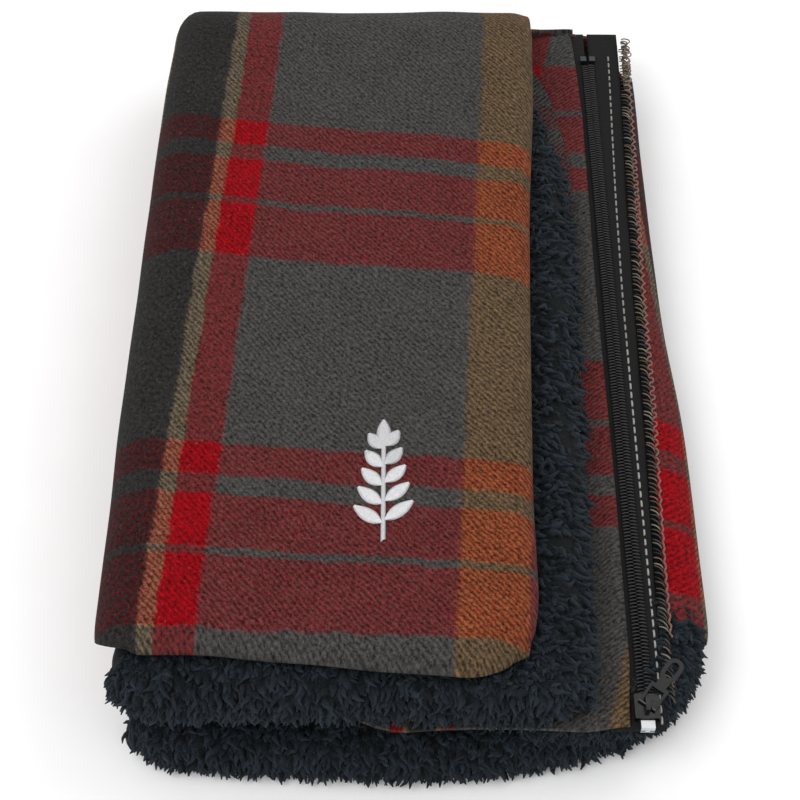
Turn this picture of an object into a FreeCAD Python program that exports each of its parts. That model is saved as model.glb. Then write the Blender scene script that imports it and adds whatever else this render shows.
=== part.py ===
# A tartan lap blanket lined with curly pile, with a coil zip along one side,
# folded once lengthways and once across, and lying flat.
# Millimetres, +Z up. The origin is on the resting plane under the middle of the bundle.
# +Y runs along the zip from its slider end to the far fold, and +X points to the zip side.
import FreeCAD, Part
import math
import os

# Driving dimensions: the cloths and the folded bundle
bundle_width = 222.0
bundle_depth = 362.0
shell_thickness = 2.2
pile_thickness = 13.7
layer_gap = 0.3

# The four plies, counted from the top. Widths run from the left folds to the right.
flap_width = 161.0
second_width = 178.0
# How far each front edge lies behind the front edge of the bottom ply
flap_setback = 19.0
second_setback = 8.0
third_setback = 6.0
flap_corner = 14.0
second_corner = 16.0
bottom_corner = 24.0
# The bottom ply's edge, wrapped up the right side towards the zip
wrap_setback = 51.0
wrap_edge_gap = 0.4
wrap_far_inset = 14.0
seam_front_inset = 20.0

# The coil zip
zip_inset = 26.5
tape_width = 10.6
tape_thickness = 0.6
tape_split = 1.8
tape_front_inset = 9.0
tape_far_inset = 7.0
lap_setback = 5.0
coil_pitch = 1.45
coil_height = 2.0
coil_split = 1.4
coil_reach = 1.9
coil_spine = 0.8
coil_tooth = 0.85
coil_seat = 0.1
stop_width = 5.0
stop_length = 3.0
stop_height = 2.4
top_stop_inset = 16.0
stop_clearance = 0.3

# The slider
slider_length = 9.5
slider_wall = 1.0
slider_flange = 0.7
slider_clearance = 0.35
slider_corner = 1.5
divider_width = 0.8
divider_length = 3.0
crown_width = 1.6
crown_opening = 3.0
crown_clear_height = 2.2
crown_leg = 1.1
crown_roof = 0.9
spring_thickness = 0.25
spring_width = 1.1
slider_front_inset = 17.0

# The pull tab, which hangs on the crown by its end bar
tab_thickness = 1.2
tab_bar_height = 0.95
tab_window_width = 5.0
tab_window_length = 6.2
tab_arm = 1.1
tab_web = 1.6
tab_neck_width = 4.2
tab_neck_length = 2.4
tab_ring_width = 6.4
tab_ring_length = 10.0
tab_ring_wall = 1.6
tab_heading_deg = 38.0
tab_rise_deg = 5.0

# Threads and trim
stitch_pitch = 4.3
stitch_length = 2.7
stitch_width = 0.5
stitch_height = 0.3
stitch_offset = 5.9
serge_width = 1.8
serge_height = 2.2
motif_x = -8.0
motif_front_inset = 66.0
motif_height = 0.5
stem_radius = 60.0
stem_sweep_deg = 52.0
stem_width = 1.6
leaf_length = 10.0
leaf_width = 4.6
leaf_pairs = 3
leaf_splay_deg = 42.0
leaf_gap = 1.3

# Levels and places worked out from the driving dimensions
pair_height = 2 * (shell_thickness + pile_thickness)
upper_base = pair_height + layer_gap
bundle_height = upper_base + pair_height
bend_radius = pair_height / 2
left_side = -bundle_width / 2
right_side = bundle_width / 2
front = -bundle_depth / 2
far = bundle_depth / 2
left_bend_x = left_side + bend_radius
right_bend_x = right_side - bend_radius
far_bend_radius = bundle_height / 2
far_bend_y = far - far_bend_radius
flap_right = left_side + flap_width
second_right = left_side + second_width
flap_front = front + flap_setback
second_front = front + second_setback
third_front = front + third_setback

zip_x = right_side - zip_inset
lap_right = zip_x - lap_setback
tape_base = pair_height - shell_thickness - coil_seat - tape_thickness
tape_top = tape_base + tape_thickness
tape_front = front + tape_front_inset
tape_far = far - tape_far_inset
coil_base = tape_top + coil_seat
coil_top = coil_base + coil_height
coil_half = coil_split / 2 + coil_reach + coil_spine
pile_top = tape_base - layer_gap
wrap_front = front + wrap_setback
wrap_far = far - wrap_far_inset
lower_fold_y = wrap_far - bend_radius
lower_fold_right = zip_x - tape_split / 2 - tape_width - layer_gap

plate_under = coil_top + slider_clearance
plate_top = plate_under + slider_wall
floor_top = tape_base - slider_clearance
slider_base = floor_top - slider_wall
slider_half = coil_half + slider_clearance + slider_flange
pad_top = slider_base - layer_gap
pile_right = zip_x - slider_half - 2 * layer_gap
slider_y = front + slider_front_inset
stop_y = slider_y - slider_length / 2 - stop_clearance - stop_length / 2
top_stop_y = far - top_stop_inset
bar_radius = tab_thickness / 2
bar_z = plate_top + tab_bar_height


def box(x0, x1, y0, y1, z0, z1):
    return Part.makeBox(x1 - x0, y1 - y0, z1 - z0, FreeCAD.Vector(x0, y0, z0))


def round_upright(solid, x, y, radius):
    # Rounds the upright edge of a slab that stands at x, y.
    edges = []
    for edge in solid.Edges:
        ends = [vertex.Point for vertex in edge.Vertexes]
        if all(abs(p.x - x) < 0.01 and abs(p.y - y) < 0.01 for p in ends):
            edges.append(edge)
    return solid.makeFillet(radius, edges)


def cylinder_x(radius, x0, x1, y, z):
    return Part.makeCylinder(radius, x1 - x0, FreeCAD.Vector(x0, y, z), FreeCAD.Vector(1, 0, 0))


def cylinder_y(radius, y0, y1, x, z):
    return Part.makeCylinder(radius, y1 - y0, FreeCAD.Vector(x, y0, z), FreeCAD.Vector(0, 1, 0))


def bend_along_y(x, z, outer, inner, y0, y1, side):
    # Half a tube along Y: side -1 keeps its left half, +1 its right half.
    tube = cylinder_y(outer, y0, y1, x, z)
    if inner > 0:
        tube = tube.cut(cylinder_y(inner, y0 - 1, y1 + 1, x, z))
    edge = x + side * (outer + 1)
    half = box(min(x, edge), max(x, edge), y0 - 2, y1 + 2, z - outer - 1, z + outer + 1)
    return tube.common(half)


def bend_along_x(y, z, outer, inner, x0, x1):
    # The far half of a tube along X.
    tube = cylinder_x(outer, x0, x1, y, z)
    if inner > 0:
        tube = tube.cut(cylinder_x(inner, x0 - 1, x1 + 1, y, z))
    half = box(x0 - 2, x1 + 2, y, y + outer + 1, z - outer - 1, z + outer + 1)
    return tube.common(half)


def joined(solids):
    return solids[0].multiFuse(solids[1:]).removeSplitter()


def make_shell():
    # One cloth: top flap, second ply, third ply, bottom ply and the bends that join them.
    wall = shell_thickness
    flap = box(left_bend_x, flap_right, flap_front, far_bend_y, bundle_height - wall, bundle_height)
    flap = round_upright(flap, flap_right, flap_front, flap_corner)
    second = box(left_bend_x, second_right, second_front, far_bend_y, upper_base, upper_base + wall)
    second = round_upright(second, second_right, second_front, second_corner)
    third = box(left_bend_x, lap_right, third_front, far_bend_y, pair_height - wall, pair_height)
    third_end = box(flap_right, lap_right, far_bend_y, lower_fold_y, pair_height - wall, pair_height)
    bottom = box(left_bend_x, right_bend_x, front, far_bend_y, 0, wall)
    bottom_end = box(flap_right, lap_right, far_bend_y, lower_fold_y, 0, wall)
    bottom = round_upright(bottom, right_bend_x, front, bottom_corner)
    upper_z = upper_base + bend_radius
    inner = bend_radius - wall
    upper_bend = bend_along_y(left_bend_x, upper_z, bend_radius, inner, flap_front, far_bend_y, -1)
    lower_bend = bend_along_y(left_bend_x, bend_radius, bend_radius, inner, third_front, far_bend_y, -1)
    fold = bend_along_x(far_bend_y, far_bend_radius, far_bend_radius, far_bend_radius - wall,
                        left_bend_x, flap_right)
    lower_fold = bend_along_x(lower_fold_y, bend_radius, bend_radius, inner,
                              flap_right, lower_fold_right)
    inner_fold_radius = layer_gap / 2 + wall
    inner_fold = bend_along_x(far_bend_y, far_bend_radius, inner_fold_radius, layer_gap / 2,
                              left_bend_x, flap_right)
    return joined([flap, second, third, third_end, bottom, bottom_end, upper_bend, lower_bend,
                   fold, inner_fold, lower_fold, make_wrap()])


def make_wrap():
    # The bottom ply turned up the right side; its cut edge ends short of the zip tape.
    bend = bend_along_y(right_bend_x, bend_radius, bend_radius, bend_radius - shell_thickness,
                        wrap_front, wrap_far, 1)
    edge_x = zip_x + tape_split / 2 + tape_width + serge_width + 2 * wrap_edge_gap + serge_width
    trim = box(right_bend_x - 1, edge_x, wrap_front - 1, wrap_far + 1, bend_radius, pair_height + 1)
    tail = box(lower_fold_right, right_bend_x, far_bend_y, wrap_far, 0, shell_thickness)
    return joined([bend.cut(trim), tail])


def make_lining():
    # The pile faces that press together are one mass, because no air is left between them.
    gap = layer_gap
    reach = bend_radius - shell_thickness - gap
    upper_mid = upper_base + bend_radius
    flap_pile = box(left_bend_x, flap_right - gap, flap_front + gap, far_bend_y,
                    upper_mid, bundle_height - shell_thickness - gap)
    flap_pile = round_upright(flap_pile, flap_right - gap, flap_front + gap, flap_corner)
    second_pile = box(left_bend_x, second_right, second_front, far_bend_y,
                      upper_base + shell_thickness + gap, upper_mid)
    second_pile = round_upright(second_pile, second_right, second_front, second_corner)
    upper_bend = bend_along_y(left_bend_x, upper_mid, reach, 0, flap_front + gap, far_bend_y, -1)
    third_pile = box(left_bend_x, pile_right, third_front, far_bend_y, bend_radius, pile_top)
    bottom_pile = box(left_bend_x, right_bend_x, front, far_bend_y, shell_thickness + gap, bend_radius)
    bottom_pile = round_upright(bottom_pile, right_bend_x, front, bottom_corner)
    lower_bend = bend_along_y(left_bend_x, bend_radius, reach, 0, third_front, far_bend_y, -1)
    lower_bend = lower_bend.common(box(left_side, left_bend_x, front, far, 0, pile_top))
    fold = bend_along_x(far_bend_y, far_bend_radius, far_bend_radius - shell_thickness - gap,
                        gap / 2 + shell_thickness + gap, left_bend_x, flap_right)
    end_pile = box(flap_right, pile_right, far_bend_y, lower_fold_y, shell_thickness + gap, pile_top)
    lower_fold = bend_along_x(lower_fold_y, bend_radius, reach, 0, flap_right, lower_fold_right)
    lower_fold = lower_fold.common(box(flap_right, lower_fold_right, front, far, 0, pile_top))
    return joined([flap_pile, second_pile, upper_bend, third_pile, bottom_pile, lower_bend, fold,
                   end_pile, lower_fold, make_wrap_pile()])


def make_wrap_pile():
    # Pile held inside the turned-up side, and the lower pile that the zip and its slider lie over.
    reach = bend_radius - shell_thickness - layer_gap
    side = bend_along_y(right_bend_x, bend_radius, reach, 0, wrap_front, wrap_far, 1)
    side = side.common(box(right_bend_x, right_side, wrap_front, wrap_far, 0, pile_top))
    inner_x = zip_x + slider_half + 2 * layer_gap
    outer_pad = box(inner_x, right_bend_x, wrap_front, wrap_far, bend_radius, pile_top)
    zip_pad = box(pile_right, right_bend_x, third_front, wrap_far, bend_radius, pad_top)
    footprint = box(left_bend_x, right_bend_x, front, far, 0, pair_height)
    zip_pad = zip_pad.common(round_upright(footprint, right_bend_x, front, bottom_corner))
    pad_base = shell_thickness + layer_gap
    end_pad = box(lower_fold_right, right_bend_x, far_bend_y, wrap_far, pad_base, pad_top)
    return joined([side, outer_pad, zip_pad, end_pad])


def make_tape(side):
    near = zip_x + side * tape_split / 2
    away = near + side * tape_width
    return box(min(near, away), max(near, away), tape_front, tape_far, tape_base, tape_top)


def make_coil(side):
    # A comb outline: a straight spine with one tooth for each turn of the coil.
    first = stop_y + stop_length / 2 + stop_clearance / 2
    last = top_stop_y - stop_length / 2 - stop_clearance / 2
    turns = int((last - first) / coil_pitch)
    tip = zip_x + side * coil_split / 2
    root = tip + side * coil_reach
    back = root + side * coil_spine
    outline = [(back, first)]
    for turn in range(turns):
        start = first + turn * coil_pitch
        outline += [(root, start), (tip, start), (tip, start + coil_tooth), (root, start + coil_tooth)]
    outline.append((back, first + (turns - 1) * coil_pitch + coil_tooth))
    points = [FreeCAD.Vector(x, y, coil_base) for x, y in outline]
    points.append(points[0])
    face = Part.Face(Part.makePolygon(points))
    return face.extrude(FreeCAD.Vector(0, 0, coil_height))


def make_bottom_stop():
    # A crimp: its head sits on both tapes, its neck passes between them and its foot closes under.
    half = stop_width / 2
    neck = tape_split / 2 - coil_seat
    y0 = stop_y - stop_length / 2
    y1 = stop_y + stop_length / 2
    head = box(zip_x - half, zip_x + half, y0, y1, coil_base, coil_base + stop_height)
    post = box(zip_x - neck, zip_x + neck, y0, y1, tape_base - coil_seat, coil_base)
    foot = box(zip_x - half, zip_x + half, y0, y1, tape_base - coil_seat - tape_thickness,
               tape_base - coil_seat)
    return joined([head, post, foot])


def make_top_stops():
    stops = []
    for side in (-1, 1):
        inner = zip_x + side * coil_split / 2
        outer = zip_x + side * coil_half
        stops.append(box(min(inner, outer), max(inner, outer), top_stop_y - stop_length / 2,
                         top_stop_y + stop_length / 2, coil_base, coil_base + stop_height))
    return Part.makeCompound(stops)


def make_slider_body():
    # Two plates joined by the divider; the upper plate's flanges close in on the coils.
    y0 = slider_y - slider_length / 2
    y1 = slider_y + slider_length / 2
    x0 = zip_x - slider_half
    x1 = zip_x + slider_half
    upper = box(x0, x1, y0, y1, tape_top + slider_clearance, plate_top)
    groove = box(x0 + slider_flange, x1 - slider_flange, y0 - 1, y1 + 1, tape_base, plate_under)
    upper = upper.cut(groove)
    lower = box(x0, x1, y0, y1, slider_base, floor_top)
    for x in (x0, x1):
        for y in (y0, y1):
            upper = round_upright(upper, x, y, min(slider_corner, slider_flange * 0.9))
            lower = round_upright(lower, x, y, slider_corner)
    divider = box(zip_x - divider_width / 2, zip_x + divider_width / 2, y1 - divider_length - 1, y1 - 1,
                  slider_base, plate_top)
    return joined([upper, lower, divider])


def make_slider_crown():
    # A bridge over the middle of the upper plate, which the tab's end bar passes under.
    half = crown_opening / 2 + crown_leg
    top = plate_top + crown_clear_height + crown_roof
    block = box(zip_x - crown_width / 2, zip_x + crown_width / 2, slider_y - half, slider_y + half,
                plate_top, top)
    tunnel = box(zip_x - crown_width, zip_x + crown_width, slider_y - crown_opening / 2,
                 slider_y + crown_opening / 2, plate_top - 1, top - crown_roof)
    block = block.cut(tunnel)
    ridges = [edge for edge in block.Edges
              if all(abs(v.Point.z - top) < 0.01 for v in edge.Vertexes)
              and abs(edge.Vertexes[0].Point.y - edge.Vertexes[-1].Point.y) < 0.01]
    return block.makeFillet(0.8 * crown_roof, ridges)


def make_lock_spring():
    roof = plate_top + crown_clear_height
    return box(zip_x - spring_width / 2, zip_x + spring_width / 2, slider_y - crown_opening / 2,
               slider_y + crown_opening / 2, roof - spring_thickness, roof)


def make_pull_tab():
    # Drawn along +Y from its end bar at the origin, then turned, raised and carried to the crown.
    half = tab_thickness / 2
    outer = tab_window_width / 2 + tab_arm
    bar = cylinder_x(bar_radius, -outer, outer, 0, 0)
    frame_end = bar_radius + tab_window_length + tab_web
    frame = box(-outer, outer, 0, frame_end, -half, half)
    window = box(-tab_window_width / 2, tab_window_width / 2, -1, frame_end - tab_web, -half - 1, half + 1)
    neck = box(-tab_neck_width / 2, tab_neck_width / 2, frame_end - 1, frame_end + tab_neck_length + 1,
               -half, half)
    radius = tab_ring_width / 2
    ring_start = frame_end + tab_neck_length + radius
    ring_end = ring_start + tab_ring_length - tab_ring_width
    ring = joined([upright_disc(radius, ring_start), upright_disc(radius, ring_end),
                   box(-radius, radius, ring_start, ring_end, -half, half)])
    hole_radius = radius - tab_ring_wall
    hole = joined([upright_disc(hole_radius, ring_start), upright_disc(hole_radius, ring_end),
                   box(-hole_radius, hole_radius, ring_start, ring_end, -half, half)])
    tab = joined([frame.cut(window), bar, neck, ring]).cut(hole)
    tab.rotate(FreeCAD.Vector(0, 0, 0), FreeCAD.Vector(1, 0, 0), tab_rise_deg)
    tab.rotate(FreeCAD.Vector(0, 0, 0), FreeCAD.Vector(0, 0, 1), -tab_heading_deg)
    tab.translate(FreeCAD.Vector(zip_x, slider_y, bar_z))
    return tab


def upright_disc(radius, y):
    return Part.makeCylinder(radius, tab_thickness, FreeCAD.Vector(0, y, -tab_thickness / 2))


def make_tape_stitches():
    # One row of stitches down the middle of the outer tape.
    x = zip_x + stitch_offset
    first = tape_front + stitch_pitch
    count = int((tape_far - tape_front) / stitch_pitch) - 1
    stitches = []
    for index in range(count):
        y = first + index * stitch_pitch
        stitches.append(box(x - stitch_width / 2, x + stitch_width / 2, y, y + stitch_length,
                            tape_top, tape_top + stitch_height))
    return Part.makeCompound(stitches)


def make_serged_edge(x0, y0, y1):
    # Overlocking thread as the closed outline that it fills.
    return box(x0, x0 + serge_width, y0, y1, tape_base, tape_base + serge_height)


def make_motif():
    # A plain embroidered sprig: a bowed stem with pairs of leaves.
    z = bundle_height
    motif_y = front + motif_front_inset + stem_radius * math.radians(stem_sweep_deg) / 2
    centre = FreeCAD.Vector(motif_x - stem_radius, motif_y, z)
    disc = Part.makeCylinder(stem_radius + stem_width / 2, motif_height, centre)
    core = Part.makeCylinder(stem_radius - stem_width / 2, motif_height, centre)
    half_height = stem_radius * math.sin(math.radians(stem_sweep_deg / 2))
    band = box(motif_x - stem_radius / 2, motif_x + stem_width, motif_y - half_height,
               motif_y + half_height, z, z + motif_height)
    pieces = [disc.cut(core).common(band)]
    for pair in range(leaf_pairs):
        turn = math.radians(stem_sweep_deg) * ((pair + 1) / (leaf_pairs + 1) - 0.5)
        foot_x = centre.x + stem_radius * math.cos(turn)
        foot_y = centre.y + stem_radius * math.sin(turn)
        for side in (-1, 1):
            heading = math.degrees(turn) + 90 + side * leaf_splay_deg
            reach = stem_width / 2 / math.sin(math.radians(leaf_splay_deg)) + leaf_gap + leaf_length / 2
            pieces.append(make_leaf(foot_x, foot_y, z, heading, reach))
    return Part.makeCompound(pieces)


def make_leaf(foot_x, foot_y, z, heading_deg, reach):
    ellipse = Part.Ellipse(FreeCAD.Vector(0, 0, 0), leaf_length / 2, leaf_width / 2)
    leaf = Part.Face(Part.Wire(ellipse.toShape())).extrude(FreeCAD.Vector(0, 0, motif_height))
    leaf.translate(FreeCAD.Vector(reach, 0, 0))
    leaf.rotate(FreeCAD.Vector(0, 0, 0), FreeCAD.Vector(0, 0, 1), heading_deg)
    leaf.translate(FreeCAD.Vector(foot_x, foot_y, z))
    return leaf


def main():
    os.makedirs("parts", exist_ok=True)
    inner_serge_x = zip_x + tape_split / 2 + tape_width + wrap_edge_gap / 2
    outer_serge_x = inner_serge_x + serge_width + wrap_edge_gap
    nodes = {
        "tartan_shell": make_shell(),
        "pile_lining": make_lining(),
        "embroidered_sprig": make_motif(),
        "zip_tape_inner": make_tape(-1),
        "zip_tape_outer": make_tape(1),
        "zip_coil_inner": make_coil(-1),
        "zip_coil_outer": make_coil(1),
        "zip_bottom_stop": make_bottom_stop(),
        "zip_top_stops": make_top_stops(),
        "tape_stitches": make_tape_stitches(),
        "serged_seam_edge": make_serged_edge(inner_serge_x, tape_front + seam_front_inset, tape_far),
        "serged_wrap_edge": make_serged_edge(outer_serge_x, wrap_front, wrap_far),
        "slider_body": make_slider_body(),
        "slider_crown": make_slider_crown(),
        "slider_lock_spring": make_lock_spring(),
        "pull_tab": make_pull_tab(),
    }
    for name, shape in nodes.items():
        shape.exportStep("parts/" + name + ".step")
        print(name, len(shape.Solids), round(shape.Volume, 2), shape.isValid())
    print("zip_x", zip_x, "slider_y", slider_y, "bar_z", bar_z)
    print("slider travel", top_stop_y - stop_length / 2 - stop_clearance - slider_length / 2 - slider_y)


main()
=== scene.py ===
import bmesh
import bpy
import numpy as np
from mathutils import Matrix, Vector


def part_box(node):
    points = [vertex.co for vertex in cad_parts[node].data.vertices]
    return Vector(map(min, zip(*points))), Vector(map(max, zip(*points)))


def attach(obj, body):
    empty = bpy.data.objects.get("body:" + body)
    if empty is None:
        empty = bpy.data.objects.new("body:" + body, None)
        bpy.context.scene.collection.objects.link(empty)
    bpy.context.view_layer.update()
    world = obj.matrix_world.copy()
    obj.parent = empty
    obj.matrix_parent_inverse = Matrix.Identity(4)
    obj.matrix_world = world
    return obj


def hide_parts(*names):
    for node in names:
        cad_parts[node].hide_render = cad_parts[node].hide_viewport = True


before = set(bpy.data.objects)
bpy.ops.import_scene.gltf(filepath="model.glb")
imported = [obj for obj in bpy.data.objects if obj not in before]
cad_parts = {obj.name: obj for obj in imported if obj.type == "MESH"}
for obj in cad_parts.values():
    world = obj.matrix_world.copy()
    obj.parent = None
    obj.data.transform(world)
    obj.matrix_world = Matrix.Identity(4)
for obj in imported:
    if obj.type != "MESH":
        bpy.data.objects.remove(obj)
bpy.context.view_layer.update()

bl_info = {
    "name": "Zip-up tartan lap blanket",
    "version": (1, 0, 0),
    "blender": (4, 5, 0),
    "location": "3D View > Sidebar > Blanket",
    "description": "Builds a folded tartan lap blanket with a curly pile lining and a coil zip.",
    "category": "Object",
}

MM = 0.001


def node_box(name):
    """A CAD node's lowest and highest corner in millimetres."""
    low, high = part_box(name)
    return np.array(low) / MM, np.array(high) / MM


SHELL_LOW, SHELL_HIGH = node_box("tartan_shell")
TAPE_LOW, TAPE_HIGH = node_box("zip_tape_outer")
INNER_LOW, INNER_HIGH = node_box("zip_tape_inner")
COIL_LOW, COIL_HIGH = node_box("zip_coil_outer")
SPRIG_LOW, SPRIG_HIGH = node_box("embroidered_sprig")

# The bundle is two double plies high, and every fold turns about a line half a pair inside it.
PAIR = SHELL_HIGH[2] / 2 - 0.15  # height of wool, pile, pile, wool
ROLL = PAIR / 2  # the outer radius of a fold of one pair
LEFT_TURN = SHELL_LOW[0] + ROLL
RIGHT_TURN = SHELL_HIGH[0] - ROLL
FAR_TURN = SHELL_HIGH[1] - SHELL_HIGH[2] / 2
UPPER_MID = SHELL_HIGH[2] - ROLL  # height of the middle of the upper pair
LOWER_MID = ROLL
FOLD_Z = (UPPER_MID + LOWER_MID) / 2
FAR_ROLL = (UPPER_MID - LOWER_MID) / 2
ZIP_X = (INNER_HIGH[0] + TAPE_LOW[0]) / 2


def drawn(*pairs):
    """A gently rounded line through (place, value) pairs: straight runs averaged over 26 mm."""
    places, values = np.array(sorted(pairs), float).T
    fine = np.arange(places[0] - 60, places[-1] + 60, 2.0)
    run = np.interp(fine, places, values)
    run = np.convolve(np.pad(run, 6, mode="edge"), np.ones(13) / 13, mode="valid")
    return lambda at: np.interp(at, fine, run)


# How the edges of the plies wander, in millimetres: (place along the edge, where the edge is).
TOP_RIGHT = drawn((-166, 40), (-153, 45), (-97, 45), (-28, 47), (49, 50), (107, 54), (157, 55.5))
TOP_FRONT = drawn((-112, -152), (-100, -155), (-73, -154), (-38, -157.5), (-3, -161.5), (30, -164.5), (46, -150))
SECOND_RIGHT = drawn((-175, 60), (-165, 66), (-130, 67.5), (-42, 70), (8, 71), (62, 72), (103, 66), (127, 56), (150, 50))
BODY_LEFT = drawn((-146, -112.5), (-17, -111), (62, -110), (122, -108), (172, -106))
TAPE_RIGHT = drawn((-170, 91.2), (-108, 92.0), (-40, 94.0), (25, 94.8), (81, 96.5), (143, 98.5), (169, 99.4))
STITCH_LINE = drawn((-165, 89.8), (-143, 90.0), (-50, 90.0), (25, 90.4), (81, 91.6), (169, 94.6))
WRAP_SIDE = drawn((-127, 112.6), (-68, 112), (-19, 109.4), (17, 107.6), (62, 106.6), (122, 106.2), (181, 107))
LAP_EDGE = drawn((-175, 77.5), (-150, 79.3), (-60, 79.6), (40, 78.6), (130, 79.5), (181, 77))


def smooth(low, high, value):
    """0 below low, 1 above high, and an even S between them."""
    t = np.clip((value - low) / (high - low), 0, 1)
    return t * t * (3 - 2 * t)


def ripple(x, y):
    """Long soft waves of laid wool: sines of unlike lengths that cross at shallow angles, in millimetres."""
    return (
        0.75 * np.sin(x / 17.0 + 0.5 * np.sin(y / 41.0) + 0.6)
        + 0.6 * np.sin(y / 23.0 + x / 61.0 + 1.9)
        + 0.35 * np.sin(x / 9.1 - y / 13.7)
        + 0.2 * np.sin(x / 5.3 + y / 7.9 + 2.2)
    )


def rolled(inside, width, depth):
    """How far an edge sinks as it curls: a quarter ellipse over its last width millimetres."""
    t = 1 - np.clip(inside / width, 0, 1)
    return depth * (1 - np.sqrt(np.maximum(0.0, 1 - t * t * 0.995)))


def colour(code):
    """A colour written as sRGB hex, as the linear colour that a shader takes."""
    s = [int(code[i : i + 2], 16) / 255 for i in (1, 3, 5)]
    return tuple(c / 12.92 if c <= 0.04045 else ((c + 0.055) / 1.055) ** 2.4 for c in s) + (1.0,)


# ------------------------------------------------------------------ mesh helpers


def grid(rows, columns, start=0, closed=False):
    """The four-cornered faces of a grid of points laid out row by row."""
    last = columns if closed else columns - 1
    r, c = np.meshgrid(np.arange(rows - 1), np.arange(last), indexing="ij")
    n = (c + 1) % columns
    f = np.stack([r * columns + c, (r + 1) * columns + c, (r + 1) * columns + n, r * columns + n], -1)
    return f.reshape(-1, 4) + start


def solid(name, points, faces, uv=None, tidy=True):
    """A mesh object from points in millimetres, a list of face arrays, and a UV place for each point."""
    mesh = bpy.data.meshes.new(name)
    corners = np.concatenate([f.ravel() for f in faces]).astype(np.int32)
    sizes = np.concatenate([np.full(len(f), f.shape[1]) for f in faces]).astype(np.int32)
    mesh.vertices.add(len(points))
    mesh.vertices.foreach_set("co", (points * MM).astype(np.float32).ravel())
    mesh.loops.add(len(corners))
    mesh.loops.foreach_set("vertex_index", corners)
    mesh.polygons.add(len(sizes))
    mesh.polygons.foreach_set("loop_start", np.concatenate([[0], np.cumsum(sizes)[:-1]]).astype(np.int32))
    mesh.polygons.foreach_set("use_smooth", np.ones(len(sizes), bool))
    if uv is not None:
        mesh.uv_layers.new(name="UVMap").data.foreach_set("uv", uv[corners].astype(np.float32).ravel())
    mesh.update(calc_edges=True)
    mesh.validate()
    if tidy:
        b = bmesh.new()
        b.from_mesh(mesh)
        bmesh.ops.recalc_face_normals(b, faces=b.faces)
        b.to_mesh(mesh)
        b.free()
    obj = bpy.data.objects.new(name, mesh)
    bpy.context.scene.collection.objects.link(obj)
    return obj


def tubes(name, paths, radius, sides=6, squash=1.0, uv=None):
    """Round threads: a ring of points carried along each path, closed at both ends.

    paths is (threads, points, 3); radius is one number or (threads, points). squash flattens the ring
    upwards. U is each thread's own value and V runs from 0 to 1 along it."""
    n, k, _ = paths.shape
    along = np.gradient(paths, axis=1)
    along /= np.linalg.norm(along, axis=2, keepdims=True) + 1e-9
    up = np.broadcast_to(np.array([0.03, 0.02, 1.0]), along.shape)
    side = np.cross(along, up)
    side /= np.linalg.norm(side, axis=2, keepdims=True) + 1e-9
    rise = np.cross(side, along)
    turn = np.linspace(0, 2 * np.pi, sides, endpoint=False)
    r = np.broadcast_to(np.asarray(radius, float), (n, k))[:, :, None, None]
    ring = np.cos(turn)[:, None] * side[:, :, None] + squash * np.sin(turn)[:, None] * rise[:, :, None]
    points = (paths[:, :, None] + r * ring).reshape(-1, 3)
    one = grid(k, sides, closed=True)
    starts = np.arange(n)[:, None, None] * k * sides
    walls = (one[None] + starts).reshape(-1, 4)
    cap = np.stack([np.arange(sides), (k - 1) * sides + np.arange(sides)[::-1]])
    caps = (cap[None] + starts).reshape(-1, sides)
    own = np.linspace(0, 1, n) if uv is None else uv
    u = np.repeat(own, k * sides)
    v = np.tile(np.repeat(np.linspace(0, 1, k), sides), n)
    return solid(name, points, [walls, caps], np.stack([u, v], -1), tidy=False)


def dress(obj, body, material, stands_for=()):
    """Gives a piece its body and its material, and the CAD nodes that it stands for."""
    obj.data.materials.clear()
    obj.data.materials.append(material)
    if stands_for:
        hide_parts(*stands_for)
    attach(obj, body)
    return obj


# ------------------------------------------------------------------ materials


def node(tree, kind, ins=None, **settings):
    """One shader node: ins gives its inputs by name or number, each a socket to link or a constant."""
    n = tree.nodes.new("ShaderNode" + kind)
    for key, value in settings.items():
        setattr(n, key, value)
    for key, value in (ins or {}).items():
        if isinstance(value, bpy.types.NodeSocket):
            tree.links.new(value, n.inputs[key])
        else:
            n.inputs[key].default_value = value
    return n


def ramp(tree, socket, stops, interpolation="LINEAR"):
    """A colour ramp through (place, linear colour) stops, and its colour socket."""
    n = node(tree, "ValToRGB", {0: socket})
    n.color_ramp.interpolation = interpolation
    e = n.color_ramp.elements
    while len(e) < len(stops):
        e.new(0.5)
    for i, (place, c) in enumerate(stops):
        e[i].position = place
        e[i].color = c
    return n.outputs[0]


def bands(edges, first, soft=0.35):
    """Ramp stops for stripes: edges is (start of stripe, colour); soft is half the bleed between two."""
    stops = [(0.0, first)]
    last = first
    for place, c in edges:
        stops += [(place - soft, last), (place + soft, c)]
        last = c
    return stops


def material(name):
    """A new node material and its tree, Principled shader and Object coordinate socket."""
    m = bpy.data.materials.new(name)
    m.use_nodes = True
    tree = m.node_tree
    tree.nodes.clear()
    shader = node(tree, "BsdfPrincipled")
    node(tree, "OutputMaterial", {"Surface": shader.outputs[0]})
    place = node(tree, "TexCoord").outputs["Object"]
    return m, tree, shader, place


def noise(tree, vector, scale, detail=3.0, roughness=0.6):
    """A noise value about 0.5; scale is how many lumps fit in one unit of the vector."""
    return node(tree, "TexNoise", {"Vector": vector, "Scale": scale, "Detail": detail, "Roughness": roughness}).outputs[0]


def maths(tree, operation, *values):
    """One maths step on sockets or numbers, and its value socket."""
    return node(tree, "Math", dict(enumerate(values)), operation=operation).outputs[0]


def blend_colour(tree, how, factor, a, b):
    """Two colours mixed, and the result's socket."""
    n = tree.nodes.new("ShaderNodeMix")
    n.data_type = "RGBA"
    n.blend_type = how
    for i, value in ((0, factor), (6, a), (7, b)):
        if isinstance(value, bpy.types.NodeSocket):
            tree.links.new(value, n.inputs[i])
        else:
            n.inputs[i].default_value = value
    return n.outputs[2]


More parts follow.
